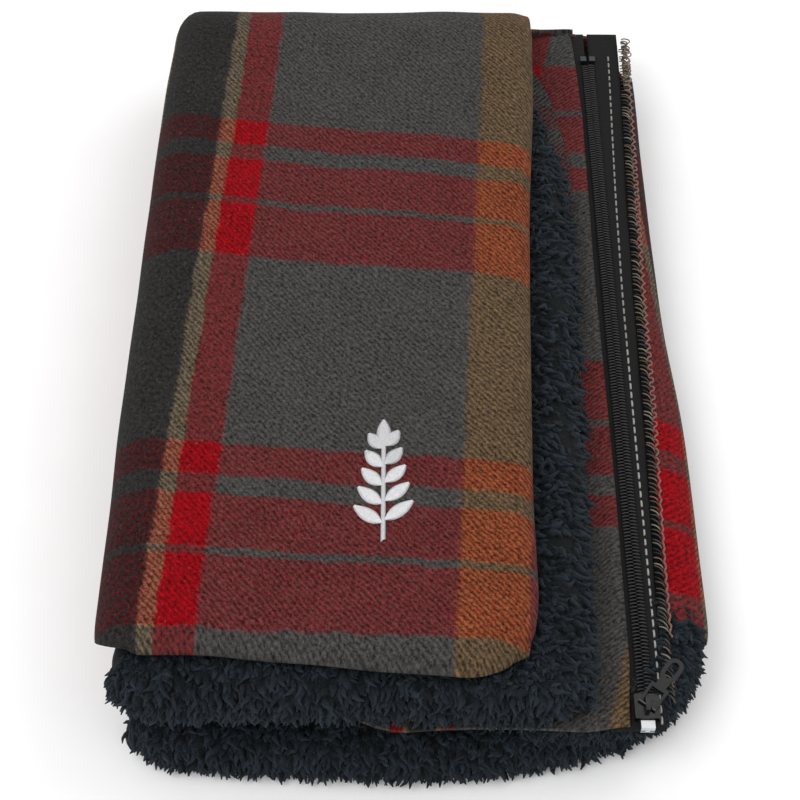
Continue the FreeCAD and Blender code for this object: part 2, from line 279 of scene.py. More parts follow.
def bump(tree, height, strength, distance):
    """A bump normal from a height value, distance in metres."""
    return node(tree, "Bump", {"Height": height, "Strength": strength, "Distance": distance}).outputs[0]


def brushed_tartan(p):
    """Spun acrylic-wool yarns woven as 2/2 twill, then brushed.

    U and V are millimetres of cloth across the warp and along it. Each yarn system has its own stripes,
    and the cloth shows whichever yarn floats on top, so a crossing is a fine mix of both colours."""
    m, tree, shader, _ = material("brushed_twill_wool")
    uv = node(tree, "UVMap", uv_map="UVMap").outputs[0]
    # yarns wander a little, so that no stripe edge is a ruled line
    wander = node(tree, "TexNoise", {"Vector": uv, "Scale": 0.11, "Detail": 3.0}).outputs[1]
    shift = node(tree, "VectorMath", {0: wander, 1: (0.5, 0.5, 0.5)}, operation="SUBTRACT").outputs[0]
    shift = node(tree, "VectorMath", {0: shift, "Scale": 3.4}, operation="SCALE").outputs[0]
    fine = node(tree, "TexNoise", {"Vector": uv, "Scale": 0.9, "Detail": 2.0}).outputs[1]
    fine = node(tree, "VectorMath", {0: fine, 1: (0.5, 0.5, 0.5)}, operation="SUBTRACT").outputs[0]
    fine = node(tree, "VectorMath", {0: fine, "Scale": 2.0}, operation="SCALE").outputs[0]
    both = node(tree, "VectorMath", {0: shift, 1: fine}, operation="ADD").outputs[0]
    moved = node(tree, "VectorMath", {0: uv, 1: both}, operation="ADD").outputs[0]
    axes = node(tree, "SeparateXYZ", {0: moved})
    u, v = axes.outputs[0], axes.outputs[1]
    grey, red, camel, coal, tan, plum = (tuple(c) for c in (p.grey_yarn, p.red_yarn, p.camel_yarn, p.charcoal_yarn, p.tan_yarn, p.plum_yarn))
    low, span = -200.0, 300.0
    edges = [(-138, red), (-124, tan), (-118, coal), (-86, tan), (-80, red), (-65.5, grey), (25, camel), (50, plum)]
    warp = ramp(
        tree,
        maths(tree, "DIVIDE", maths(tree, "SUBTRACT", u, low), span),
        bands([((a - low) / span, c) for a, c in edges], grey, 0.4 / span),
    )
    repeat = p.weft_repeat / MM
    part = maths(tree, "DIVIDE", maths(tree, "FLOORED_MODULO", maths(tree, "ADD", v, 151.5), repeat), repeat)
    weft_edges = [(27, grey), (30, red), (52, grey), (60.5, red), (74, grey), (162.9, red)]
    weft = ramp(tree, part, bands([(a / repeat, c) for a, c in weft_edges], red, 0.4 / repeat))
    # the twill line, where the warp floats over and steps one yarn a row: this gives the fine slanting rib
    line = maths(tree, "SINE", maths(tree, "MULTIPLY", maths(tree, "ADD", u, v), 6.2832 / (p.twill_pitch / MM * 1.414)))
    loose = noise(tree, uv, 1.3, 3.0)
    # the dark left stripe is sleyed closer, so its warp covers most of the weft and its twill stands out
    close = node(tree, "MapRange", {0: u, 1: -85.5, 2: -86.5, 3: 0.0, 4: 1.0}).outputs[0]
    depth = maths(tree, "ADD", maths(tree, "MULTIPLY", close, 0.2), 0.22)
    lift = maths(tree, "ADD", maths(tree, "MULTIPLY", line, depth), maths(tree, "MULTIPLY", maths(tree, "SUBTRACT", loose, 0.5), 0.6))
    over = node(tree, "Math", {0: maths(tree, "ADD", lift, 0.5), 1: maths(tree, "MULTIPLY", close, 0.27)}, operation="ADD", use_clamp=True).outputs[0]
    mixed = blend_colour(tree, "MIX", over, weft, warp)
    # fibres of two unlike colours shade each other, so a crossing is darker than the plain mean
    reds = [node(tree, "SeparateColor", {0: c}).outputs[0] for c in (warp, weft)]
    unlike = maths(tree, "ABSOLUTE", maths(tree, "SUBTRACT", *reds))
    dim = maths(tree, "SUBTRACT", 1.0, maths(tree, "MULTIPLY", unlike, 1.15))
    # brushed nap: painted light and painted shade in clouds, where the fibres lie different ways, and short pale fibres
    nap = noise(tree, uv, 0.62, 4.0, 0.8)
    cloud = noise(tree, uv, 0.06, 3.0)
    shade = maths(tree, "ADD", maths(tree, "MULTIPLY", nap, 4.3), maths(tree, "MULTIPLY", cloud, 0.5))
    # painted shade of the twill ribs: the slanting line darkens the grooves between them in the colour
    shade = maths(tree, "ADD", shade, maths(tree, "MULTIPLY", line, maths(tree, "MULTIPLY", depth, 1.2)))
    shade = maths(tree, "MULTIPLY", maths(tree, "MAXIMUM", maths(tree, "SUBTRACT", shade, 1.5), 0.22), dim)
    toned = node(tree, "VectorMath", {0: mixed, "Scale": shade}, operation="SCALE").outputs[0]
    stretched = node(tree, "Mapping", {0: moved, "Rotation": (0, 0, 0.6), "Scale": (2.2, 0.35, 1)}).outputs[0]
    hair = noise(tree, stretched, 1.0, 2.0, 0.5)
    hairs = node(tree, "MapRange", {0: hair, 1: 0.66, 2: 0.76, 3: 0.0, 4: 0.3}).outputs[0]
    final = blend_colour(tree, "MIX", hairs, toned, tuple(p.nap_colour))
    tree.links.new(final, shader.inputs["Base Color"])
    shader.inputs["Roughness"].default_value = 0.95
    shader.inputs["Specular IOR Level"].default_value = 0.08
    shader.inputs["Sheen Weight"].default_value = 0.02
    shader.inputs["Sheen Roughness"].default_value = 0.6
    height = maths(tree, "ADD", maths(tree, "MULTIPLY", over, 0.8), nap)
    tree.links.new(bump(tree, height, 0.55, 0.0006), shader.inputs["Normal"])
    return m


def curly_pile(p):
    """Knitted pile whose polyester fibres were curled and clumped: painted shade dark between the clumps and at the
    roots of the locks, and painted light paler towards each tip, with fine streaks along it."""
    m, tree, shader, place = material("curled_polyester_pile")
    uv = node(tree, "UVMap", uv_map="UVMap").outputs[0]
    axes = node(tree, "SeparateXYZ", {0: uv})
    own, along = axes.outputs[0], axes.outputs[1]
    clump = noise(tree, place, 190.0, 4.0, 0.65)
    streak = noise(tree, node(tree, "Mapping", {0: place, "Scale": (1600, 1600, 420)}).outputs[0], 1.0, 2.0)
    light = maths(tree, "ADD", maths(tree, "MULTIPLY", clump, 0.7), maths(tree, "MULTIPLY", along, 0.4))
    light = maths(tree, "ADD", light, maths(tree, "MULTIPLY", maths(tree, "SUBTRACT", streak, 0.5), 0.5))
    light = maths(tree, "ADD", light, maths(tree, "MULTIPLY", own, 0.28))
    # painted shade and painted light: the ramp runs from painted shade deep between the clumps and at the roots,
    # through the pile's main colour, to painted light on the tips
    tone = ramp(tree, light, [(0.25, tuple(p.pile_painted_shade)), (0.6, tuple(p.pile_colour)), (1.0, tuple(p.pile_tip_painted_light))])
    tree.links.new(tone, shader.inputs["Base Color"])
    shader.inputs["Roughness"].default_value = 0.8
    shader.inputs["Specular IOR Level"].default_value = 0.15
    shader.inputs["Sheen Weight"].default_value = 0.04
    shader.inputs["Sheen Roughness"].default_value = 0.5
    tree.links.new(bump(tree, maths(tree, "ADD", clump, streak), 0.8, 0.0012), shader.inputs["Normal"])
    return m


def woven_tape(p):
    """Polyester narrow-woven tape: a flat black with fine ribs across it, painted darker between the ribs as painted
    shade, and a slight lift along the ribs.
    """
    m, tree, shader, place = material("woven_polyester_tape")
    rib = node(tree, "TexWave", {"Vector": place, "Scale": 330.0, "Distortion": 1.2, "Detail": 1.0}, bands_direction="Y").outputs[1]
    dust = noise(tree, place, 900.0, 3.0)
    light = maths(tree, "ADD", maths(tree, "MULTIPLY", rib, 0.5), maths(tree, "MULTIPLY", dust, 0.5))
    # painted shade: the rib wave darkens the grooves between the ribs; the dust noise varies the black at random
    tone = ramp(tree, light, [(0.2, colour("#151515")), (0.8, tuple(p.tape_colour))])
    tree.links.new(tone, shader.inputs["Base Color"])
    shader.inputs["Roughness"].default_value = 0.85
    shader.inputs["Specular IOR Level"].default_value = 0.15
    tree.links.new(bump(tree, rib, 0.4, 0.0002), shader.inputs["Normal"])
    return m


def spun_thread(name, stops, roughness=0.7):
    """Plied polyester sewing thread: each stitch has its own tone, with the plies' twist as fine slanting ribs, painted
    darker between the plies as painted shade.
    """
    m, tree, shader, place = material(name)
    uv = node(tree, "UVMap", uv_map="UVMap").outputs[0]
    axes = node(tree, "SeparateXYZ", {0: uv})
    tone = ramp(tree, axes.outputs[0], stops, "CONSTANT")
    fuzz = noise(tree, place, 1500.0, 3.0)
    twist = node(tree, "TexWave", {"Vector": place, "Scale": 900.0, "Distortion": 2.0}, bands_direction="DIAGONAL").outputs[1]
    # painted shade: the twist ribs darken the grooves between the plies; the fuzz varies the tone at random
    light = maths(tree, "ADD", maths(tree, "MULTIPLY", fuzz, 0.8), maths(tree, "MULTIPLY", twist, 0.3))
    light = maths(tree, "ADD", light, 0.45)
    final = node(tree, "VectorMath", {0: tone, "Scale": light}, operation="SCALE").outputs[0]
    tree.links.new(final, shader.inputs["Base Color"])
    shader.inputs["Roughness"].default_value = roughness
    tree.links.new(bump(tree, twist, 0.4, 0.0001), shader.inputs["Normal"])
    return m


def satin(name, tone, metallic, roughness, worn):
    """A hard part: die-cast zinc under enamel, moulded nylon, or bare metal. Handling leaves the gloss
    uneven, and the surface rolls very slightly from casting or pressing."""
    m, tree, shader, place = material(name)
    rub = noise(tree, place, 420.0, 4.0)
    final = blend_colour(tree, "MIX", node(tree, "MapRange", {0: rub, 1: 0.5, 2: 0.8, 3: 0.0, 4: 0.6}).outputs[0], tone, worn)
    tree.links.new(final, shader.inputs["Base Color"])
    rough = node(tree, "MapRange", {0: rub, 1: 0.3, 2: 0.7, 3: roughness - 0.07, 4: roughness + 0.1}).outputs[0]
    tree.links.new(rough, shader.inputs["Roughness"])
    shader.inputs["Metallic"].default_value = metallic
    tree.links.new(bump(tree, noise(tree, place, 700.0, 2.0), 0.15, 0.0001), shader.inputs["Normal"])
    return m


# ------------------------------------------------------------------ the cloth


def finer_end(count, share, extra=12):
    """Fractions from 0 to 1, evenly spaced, then closer over the last share of the way."""
    return np.concatenate([np.linspace(0, 1 - share, count, endpoint=False), 1 - share + share * np.sin(np.linspace(0, np.pi / 2, extra))])


def tartan(p):
    """The shell, one sheet folded twice.

    A point's place is a line across, bent into a C about the left turn, carried along a second C about the
    far turn. Across: x runs flat at +n, turns half a circle of radius n, and runs back flat at -n. Along: y
    runs level at the upper middle, turns half a circle about the far fold, and runs back at the lower middle;
    n is laid off along that path's normal. The lower outer run goes on past the right turn by radius n, up
    and over the side. Edges curl by a quarter ellipse, and long sines ripple it."""
    n0 = ROLL - p.wool_thickness / MM / 2 - 0.2
    out = finer_end(58, 0.085)[::-1]
    turn = np.linspace(0, np.pi, 15)[1:-1]
    back = finer_end(46, 0.05, 8)
    level = finer_end(100, 0.05)[::-1]
    over = np.linspace(0, np.pi, 23)[1:-1]
    low = finer_end(100, 0.045, 10)
    rows = np.concatenate([level, 0 * over, low])[:, None]
    theta = np.concatenate([0 * level, over, np.pi + 0 * low])[:, None]
    phi = np.concatenate([0 * out, turn, np.pi + 0 * back])[None, :]
    share = np.concatenate([out, 0 * turn, back])[None, :]
    is_out, is_back = phi == 0, phi == np.pi
    upper, lower = theta == 0, theta == np.pi
    y_guess = np.where(upper | lower, FAR_TURN - rows * (FAR_TURN + 165), FAR_TURN)
    wrap_arc = n0 * 2.86
    bend_x = 55.5 + (100 - 55.5) * smooth(1.42, 1.85, theta) + (wrap_arc - 4.9) * smooth(2.0, 3.14, theta)
    right_out = np.where(upper, TOP_RIGHT(y_guess), np.where(lower, RIGHT_TURN + wrap_arc, bend_x))
    right_back = np.where(upper, SECOND_RIGHT(y_guess), np.where(lower, LAP_EDGE(y_guess + 20 * smooth(90, 150, y_guess)), 50 + 28.5 * smooth(0.2, 1.3, theta)))
    flat = LEFT_TURN + share * (np.where(is_out, right_out, right_back) - LEFT_TURN)
    side = BODY_LEFT(y_guess) - SHELL_LOW[0]
    x = np.where(is_out | is_back, flat, LEFT_TURN - (n0 - side) * np.sin(phi))
    # the lower fold draws in where it comes out at the front
    x = x + 7 * np.sin(phi) * lower * smooth(0.72, 1.0, rows)
    n = n0 * np.cos(phi)
    # past the right turn, the outer cloth climbs the side as an arc and lies over towards the zip
    past = np.clip(flat - RIGHT_TURN, 0, None) * is_out / n0
    side_x = WRAP_SIDE(y_guess) - 1.0
    free_x = TAPE_RIGHT(y_guess) + 4.2
    end = np.sin(2.86)
    up_and_over = np.sin(past)
    climb = np.where(past < np.pi / 2, RIGHT_TURN + (side_x - RIGHT_TURN) * up_and_over, free_x + (side_x - free_x) * (up_and_over - end) / (1 - end))
    x = np.where(past > 0, climb, x)
    n = np.where(is_out, n0 * np.cos(past), n)
    # each ply stops at its own front edge
    front_top = TOP_FRONT(x)
    front_second = -162.0 - 3 * smooth(20, 70, x) + 26 * smooth(60, 100, -x)
    lean = (1 - np.cos(phi)) / 2
    front_upper = front_top * (1 - lean) + front_second * lean
    front_floor = -167.0 + 38 * smooth(74, 100, flat) + 24 * smooth(45, 95, -flat)
    front_lap = -173.0 + 3 * smooth(60, 80, x) + 1.2 * np.sin(x / 21.0) + 24 * smooth(0, 60, -x)
    front_lower = front_floor * (1 - lean) + front_lap * lean
    front = np.where(upper, front_upper, front_lower)
    run = FAR_TURN - rows * (FAR_TURN - front)
    longer = 33 * smooth(48, 58, x) * is_back * (upper + lower * smooth(60, 140, run) + ~(upper | lower))
    longer = longer + 4 * smooth(52, 70, x) * is_out * ~(upper | lower)
    y = np.where(upper | lower, run, FAR_TURN + (FAR_ROLL + n) * np.sin(theta)) + longer
    z = np.where(upper, UPPER_MID + n, np.where(lower, LOWER_MID - n, FOLD_Z + (FAR_ROLL + n) * np.cos(theta)))
    # curl of the free edges of the top ply, and of the lap beside the zip
    near = np.clip(9 - (run - front), 0, None) * upper
    right = np.clip(9 - (right_out - flat), 0, None) * is_out * (1 - smooth(0.4, 1.6, theta))
    z = z - rolled(9 - np.hypot(near, right) + 99 * (~(upper) & (right == 0)), 9.0, 8.5) * is_out * (~lower)
    z = z - rolled(run - front, 7.0, 4.0) * upper * (~is_out) * ~is_back
    z = z - rolled(LAP_EDGE(y) - x, 3.0, 1.0) * lower * is_back
    z = z - rolled(run - front, 6.0, 3.5) * lower * (past > 0.6)
    weight = np.where(is_out & upper, 1.0, np.where(is_out & lower & (past < 0.5), 0.0, 0.45))
    weight = weight * (1 - 0.7 * smooth(70, 76, x) * is_back)
    wave = ripple(x, y) * weight
    z = z + wave * np.abs(np.cos(theta)) * (np.abs(np.cos(phi)) * 0.8 + 0.2) * np.where(past > 1.2, 0.5, 1)
    y = y + wave * np.sin(theta) * 0.8
    x = x + wave * np.sin(phi) * 0.9 + 0.8 * wave * (past > 0.9) * smooth(0.9, 1.5, past) * np.sin(past)
    z = np.maximum(z, p.wool_thickness / MM / 2 + 0.05)
    points = np.stack(np.broadcast_arrays(x, y, z), -1).reshape(-1, 3)
    # where each point lies in the cloth
    skew = 0.055 + 0.00029 * (np.minimum(y_guess, FAR_TURN) + 150)
    u = np.where(is_out, flat, np.where(is_back, 2 * LEFT_TURN - flat - n0 * np.pi, LEFT_TURN - n0 * phi)) - 0.061 * np.where(upper, run, FAR_TURN)
    v_top = np.where(upper, run, FAR_TURN) + skew * np.where(is_out, flat, LEFT_TURN)
    v = np.where(upper, v_top, v_top + (FAR_ROLL + n0) * theta + np.where(lower, FAR_TURN - run, 0))
    lap = is_back * smooth(-60, 40, x) * (theta > 1.5)
    u = u * (1 - lap) + (x - 126.5 - 0.25 * (y - 150)) * lap
    v = v * (1 - lap) + (-151.5 + 3 * p.weft_repeat / MM + 0.953 * (160 - y)) * lap
    wrap = is_out * smooth(60, 90, flat) * np.where(lower, 1.0, smooth(2.0, 3.1, theta))
    up_side = wrap_arc - (flat - RIGHT_TURN)
    u = u * (1 - wrap) + (-67.5 - up_side - 24 * smooth(-40, 150, y)) * wrap
    v = v * (1 - wrap) + (-151.5 + p.weft_repeat / MM + 0.961 * (y + 116.5)) * wrap
    uv = np.stack(np.broadcast_arrays(u, v), -1).reshape(-1, 2)
    obj = solid("tartan_throw", points, [grid(rows.shape[0], phi.shape[1])], uv)
    thick = obj.modifiers.new("thickness", "SOLIDIFY")
    thick.thickness = p.wool_thickness
    thick.offset = 0.0
    return obj


# ------------------------------------------------------------------ the pile


def rim_path(corners, step=2.0, rounding=9):
    """A rounded path through corner points, with its outward normals, in plan. Rounded by a running mean."""
    c = np.array(corners, float)
    length = np.concatenate([[0], np.cumsum(np.hypot(*np.diff(c, axis=0).T))])
    s = np.arange(0, length[-1], step)
    line = np.stack([np.interp(s, length, c[:, i]) for i in (0, 1)], -1)
    pad = np.concatenate([2 * line[:1] - line[rounding:0:-1], line, 2 * line[-1:] - line[-2 : -rounding - 2 : -1]])
    line = np.stack([np.convolve(pad[:, i], np.ones(2 * rounding + 1) / (2 * rounding + 1), mode="valid") for i in (0, 1)], -1)
    t = np.gradient(line, axis=0)
    t /= np.linalg.norm(t, axis=1, keepdims=True)
    return line, np.stack([t[:, 1], -t[:, 0]], -1)


def lobe(line, out, middle, half, deep, lumps=1.0):
    """A pile edge: a stadium profile (flat above and below, half a circle at the rim) carried along the rim,
    swollen and pinched by sines of the length along it."""
    turn = np.linspace(np.pi / 2, -np.pi / 2, 11)
    flat_run = np.linspace(0, 1, 6)[:-1]
    outward = np.concatenate([-deep + flat_run * (deep - half), -half + half * np.cos(turn), -half - flat_run[1:] * (deep - half)])
    upward = np.concatenate([half + 0 * flat_run, half * np.sin(turn), -half + 0 * flat_run[1:]])
    s = np.arange(len(line))[:, None] * 2.0
    swell = lumps * (0.7 * np.sin(s / 6.3 + 2 * np.sin(s / 29.0)) + 0.6 * np.sin(s / 15.1 + 1.0))
    o = outward[None] + swell * np.clip((outward[None] + half) / half, 0, 1)
    x = line[:, :1] + out[:, :1] * o
    y = line[:, 1:] + out[:, 1:] * o
    z = np.maximum(middle + upward[None] + 0.4 * swell * (upward[None] > 0), 0.1)
    k = len(outward)
    points = np.stack([x, y, z], -1).reshape(-1, 3)
    ends = np.stack([np.arange(k), (len(line) - 1) * k + np.arange(k)[::-1]])
    return points, [grid(len(line), k, closed=True), ends]


def drum(left, right, start, end):
    """Pile inside the far fold: a slice of a cylinder about the far turn, from one angle to another, whose
    radius shrinks at both ends as a quarter ellipse and swells with sines of the angle."""
    t = np.linspace(0, 1, 24)[:, None]
    x = left + (right - left) * (1 - np.cos(np.pi * t)) / 2
    arc = np.linspace(start, end, 26)[None]
    inside = np.minimum(x - left, right - x)
    radius = FAR_ROLL + ROLL - 3.6 - rolled(inside, 7.0, 7.0) - 0.5 + 0.5 * np.sin(arc * 9 + x / 7)
    y = np.concatenate([FAR_TURN + radius * np.sin(arc), FAR_TURN - 4 + 0 * x], 1)
    z = np.concatenate([FOLD_Z + radius * np.cos(arc), FOLD_Z + min(0.0, 27 * np.cos(start)) + 0 * x], 1)
    points = np.stack([x + 0 * y, y, z], -1).reshape(-1, 3)
    ends = np.stack([np.arange(27), 23 * 27 + np.arange(27)[::-1]])
    return points, [grid(24, 27, closed=True), ends]


def locks(name, roots, out, hang, length, width, seed):
    """Curled locks: each is a tapering tube whose centre line leaves the base outwards, bends towards hang,
    and waves from side to side once or so on the way; its radius falls as a power of what is left."""
    rng = np.random.default_rng(seed)
    n, k = len(roots), 6
    t = np.linspace(0, 1, k)[None, :, None]
    long = (length * rng.uniform(0.65, 1.25, n))[:, None, None]
    first = out + rng.normal(0, 0.35, (n, 3))
    first /= np.linalg.norm(first, axis=1, keepdims=True)
    last = hang + rng.normal(0, 0.45, (n, 3))
    last /= np.linalg.norm(last, axis=1, keepdims=True)
    side = np.cross(first, last + 0.01)
    side /= np.linalg.norm(side, axis=1, keepdims=True) + 1e-9
    wave = np.sin(t * rng.uniform(3.5, 6.5, (n, 1, 1)) + rng.uniform(0, 6.28, (n, 1, 1))) * t
    path = roots[:, None] + long * (0.28 * t * first[:, None] + 0.74 * t**1.5 * last[:, None])
    path = path + side[:, None] * wave * (0.21 * long)
    path[:, :, 2] = np.maximum(path[:, :, 2], 2.0)
    r = width * rng.uniform(0.7, 1.2, (n, 1)) * np.maximum(1 - np.linspace(0, 1, k) ** 3.2, 0.16)[None]
    return tubes(name, path, r, sides=5, uv=rng.uniform(0, 1, n))


def rim_roots(line, out, middle, half, count, inset, low_turn, seed, drop=0.55):
    """Places for locks on a lobe: along the rim, from inset millimetres inside it over to low_turn below."""
    rng = np.random.default_rng(seed)
    i = rng.integers(1, len(line) - 1, count)
    arc = half * (np.pi / 2 - low_turn)
    w = rng.uniform(-inset, arc, count)
    turn = np.pi / 2 - np.clip(w, 0, None) / half
    o = np.where(w < 0, w - half, -half + half * np.cos(turn)) - 0.8
    z = middle + half * np.sin(turn) - 0.8 * np.sin(turn)
    jitter = rng.uniform(-1, 1, (count, 1)) * np.stack([-out[i, 1], out[i, 0]], -1)
    place = line[i] + jitter + out[i] * o[:, None]
    normal = np.stack([out[i, 0] * np.cos(turn), out[i, 1] * np.cos(turn), np.sin(turn)], -1)
    fall = np.where(w < 0, 0.05, drop + 0.5 * (1 - np.sin(turn)))
    hang = np.stack([0.75 * out[i, 0], 0.75 * out[i, 1] - 0.45, -fall], -1)
    return np.column_stack([place, z]), normal, hang


def pile(p):
    """The lining: a lobe of pile along the open edges of each ply, and locks on what shows of it."""
    half = 6.9
    t1 = [(-100, -143), (-60, -145), (28, -154), (34, -140), (35, -60), (39, 40), (44, 150)]
    t2 = [(-105, -146), (-107, -157), (-104, -168), (-60, -168), (0, -168), (52, -171), (63, -166), (64, -130), (66, -42), (67.5, 8), (68, 62), (62, 100), (54, 124), (48, 150)]
    t3 = [(-100, -158), (-40, -160), (0, -165), (40, -167), (70, -167), (88, -165), (101, -153), (106, -140), (106, -110), (104, 150)]
    t4 = [(-104, -163), (-97, -172), (-40, -176), (15, -177.5), (60, -172), (90, -160), (105, -147), (108, -130), (106, -100)]
    rims = {"pile_under_top": (t1, UPPER_MID + 5.6, 5.6, 30), "pile_second": (t2, UPPER_MID - 7.4, 8.0, 34),
            "pile_third": (t3, LOWER_MID + 4.6, 6.6, 26), "pile_floor": (t4, LOWER_MID - 7.9, 7.5, 34)}
    made = []
    for name, (corners, middle, h, deep) in rims.items():
        line, out = rim_path(corners)
        points, faces = lobe(line, out, middle, h, deep)
        # along is 0 here, the root end of the ramp, so the lobes carry the painted shade of the depths
        made.append(solid(name, points, faces, np.zeros((len(points), 2)) + (0.4, 0.0)))
    for name, (left, right, start) in {"pile_in_fold": (LEFT_TURN, 45.0, 0.02), "pile_in_corner": (40.0, 99.0, np.pi / 2 + 0.25)}.items():
        points, faces = drum(left, right, start, np.pi - 0.02)
        # along is 0 here too, so the pile inside the folds carries the painted shade of the depths
        made.append(solid(name, points, faces, np.zeros((len(points), 2)) + (0.4, 0.0)))
    rng = np.random.default_rng(31)
    arc, far = rng.uniform(0.05, 1.5, 900), FAR_ROLL + 11 - 24 * rng.uniform(0, 1, 900) ** 2
    roots = np.stack([np.full(900, 43.0), FAR_TURN + far * np.sin(arc), FOLD_Z + far * np.cos(arc)], -1)
    made.append(locks("locks_in_fold", roots, np.tile((1.0, 0, 0), (900, 1)), np.tile((0.5, -0.3, -0.7), (900, 1)), 5.0, 1.5, 32))
    plan = (
        ("locks_second_front", t2[1:8], UPPER_MID - 7.4, 8.0, 3100, 14.0, -1.2, 11),
        ("locks_second_side", t2[6:], UPPER_MID - 7.4, 8.0, 3300, 29.0, -1.1, 21),
        ("locks_floor", t4, LOWER_MID - 7.9, 7.5, 3300, 10.0, -0.9, 12),
        ("locks_third", t3[3:], LOWER_MID + 4.6, 6.6, 2600, 8.0, -1.2, 13),
        ("locks_under_top", t1, UPPER_MID + 5.6, 5.6, 1500, 0.0, -1.3, 14),
    )
    for name, corners, middle, h, count, inset, low, seed in plan:
        line, out = rim_path(corners)
        if name == "locks_third":
            line, out = line[line[:, 1] < -118], out[line[:, 1] < -118]
        roots, normal, hang = rim_roots(line, out, middle, h, count, inset, low, seed)
        made.append(locks(name, roots, normal, hang, p.lock_length / MM, p.lock_width / MM / 2, seed))
    return made


# ------------------------------------------------------------------ zip, threads and motif


def tape(name, left, right, rough_edge):
    """A woven tape: straight across between its two edges, with its free edge lifting and dipping in sines."""
    y = np.linspace(INNER_LOW[1], INNER_HIGH[1] + 10, 182)[:, None]
    f = np.linspace(0, 1, 9)[None]
    x = left(y) + (right(y) - left(y)) * f
    free = f if rough_edge > 0 else 1 - f
    lift = np.abs(rough_edge) * free**3 * (np.sin(y / 19.0) + 0.6 * np.sin(y / 7.7 + 1))
    z = (INNER_LOW[2] + INNER_HIGH[2]) / 2 + lift + 0 * x
    points = np.stack([x, y + 0 * x, z], -1).reshape(-1, 3)
    obj = solid(name, points, [grid(len(y), 9)], points[:, :2])
    thick = obj.modifiers.new("thickness", "SOLIDIFY")
    thick.thickness = 0.6 * MM
    thick.offset = 0.0
    return obj


def coil(name, side, phase, pitch):
    """Half a coil: every turn is one bent filament that starts on the tape, arches, and ends past the middle."""
    y = np.arange(COIL_LOW[1] + 0.6 + phase, COIL_HIGH[1] - 0.6, pitch)[:, None]
    t = np.linspace(0, 1, 6)[None]
    x = ZIP_X + side * (3.0 - 3.3 * t)
    z = COIL_LOW[2] + 0.55 + 0.85 * np.sin(np.pi * (0.1 + 0.8 * t))
    path = np.stack(np.broadcast_arrays(x, y + 0.5 * (t - 0.5), z), -1)
    return tubes(name, path, 0.37, sides=6)


def stitches(p):
    """Lockstitches along the tape: each a short thread that dips into the cloth at both ends."""
    pitch = p.stitch_pitch / MM
    y = np.arange(INNER_LOW[1] + 4, INNER_HIGH[1] - 3, pitch)[:, None]
    t = np.linspace(-1, 1, 6)[None]
    yy = y + 0.34 * pitch * t
    z = TAPE_HIGH[2] + 0.28 - 0.5 * t**4
    path = np.stack(np.broadcast_arrays(STITCH_LINE(yy), yy, z), -1)
    return tubes("tape_lockstitch", path, 0.42, sides=6, squash=0.7)


def serging(p):
    """Overlocking along the two raw edges: slanting threads laid side by side, and a chain of scallops."""
    rng = np.random.default_rng(5)
    pitch = 2.1
    y = np.arange(-160, INNER_HIGH[1] - 2, pitch)
    y = (y + rng.uniform(-0.5, 0.5, len(y)))[:, None]
    t = np.linspace(0, 1, 6)[None]
    tilt = rng.uniform(2.0, 4.2, (len(y), 1))
    x = TAPE_RIGHT(y) + 0.4 + 3.7 * t + 0.3 * np.sin(4 * t)
    yy = y + tilt * (0.5 - t)
    z = TAPE_HIGH[2] + 0.5 + 1.0 * np.sin(np.pi * t) + 0 * y
    path = np.stack(np.broadcast_arrays(x, yy, z), -1)
    slants = tubes("serging_slants", path, 0.29, sides=5, uv=rng.uniform(0, 1, len(y)))
    s = np.arange(-136, 168, 0.45)
    wave = np.sin(2 * np.pi * s / 4.3 + 0.8 * np.sin(s / 17))
    size = 0.3 + 0.55 * smooth(60, -20, -s - 40)
    chain = np.stack([TAPE_RIGHT(s) + 4.3 + size * wave, s, TAPE_HIGH[2] + 1.5 + 0.5 * np.cos(4 * np.pi * s / 4.3)], -1)[None]
    loops = tubes("serging_chain", chain, 0.42, sides=6, uv=np.array([0.93]))
    n = 42
    a = rng.uniform(146, 178, n)[:, None]
    size = rng.uniform(1.5, 4.5, (n, 1))
    turn = np.linspace(-0.6, 3.6, 9)[None]
    x = TAPE_RIGHT(a) + 1.0 + size * (0.5 + 0.6 * np.sin(turn))
    path = np.stack(np.broadcast_arrays(x, a + 1.7 * np.cos(turn), TAPE_HIGH[2] + 0.5 + rng.uniform(0, 2.5, (n, 1))), -1)
    frayed = tubes("frayed_loops", path, 0.3, sides=5, uv=rng.uniform(0, 1, n))
    return [slants, loops, frayed]


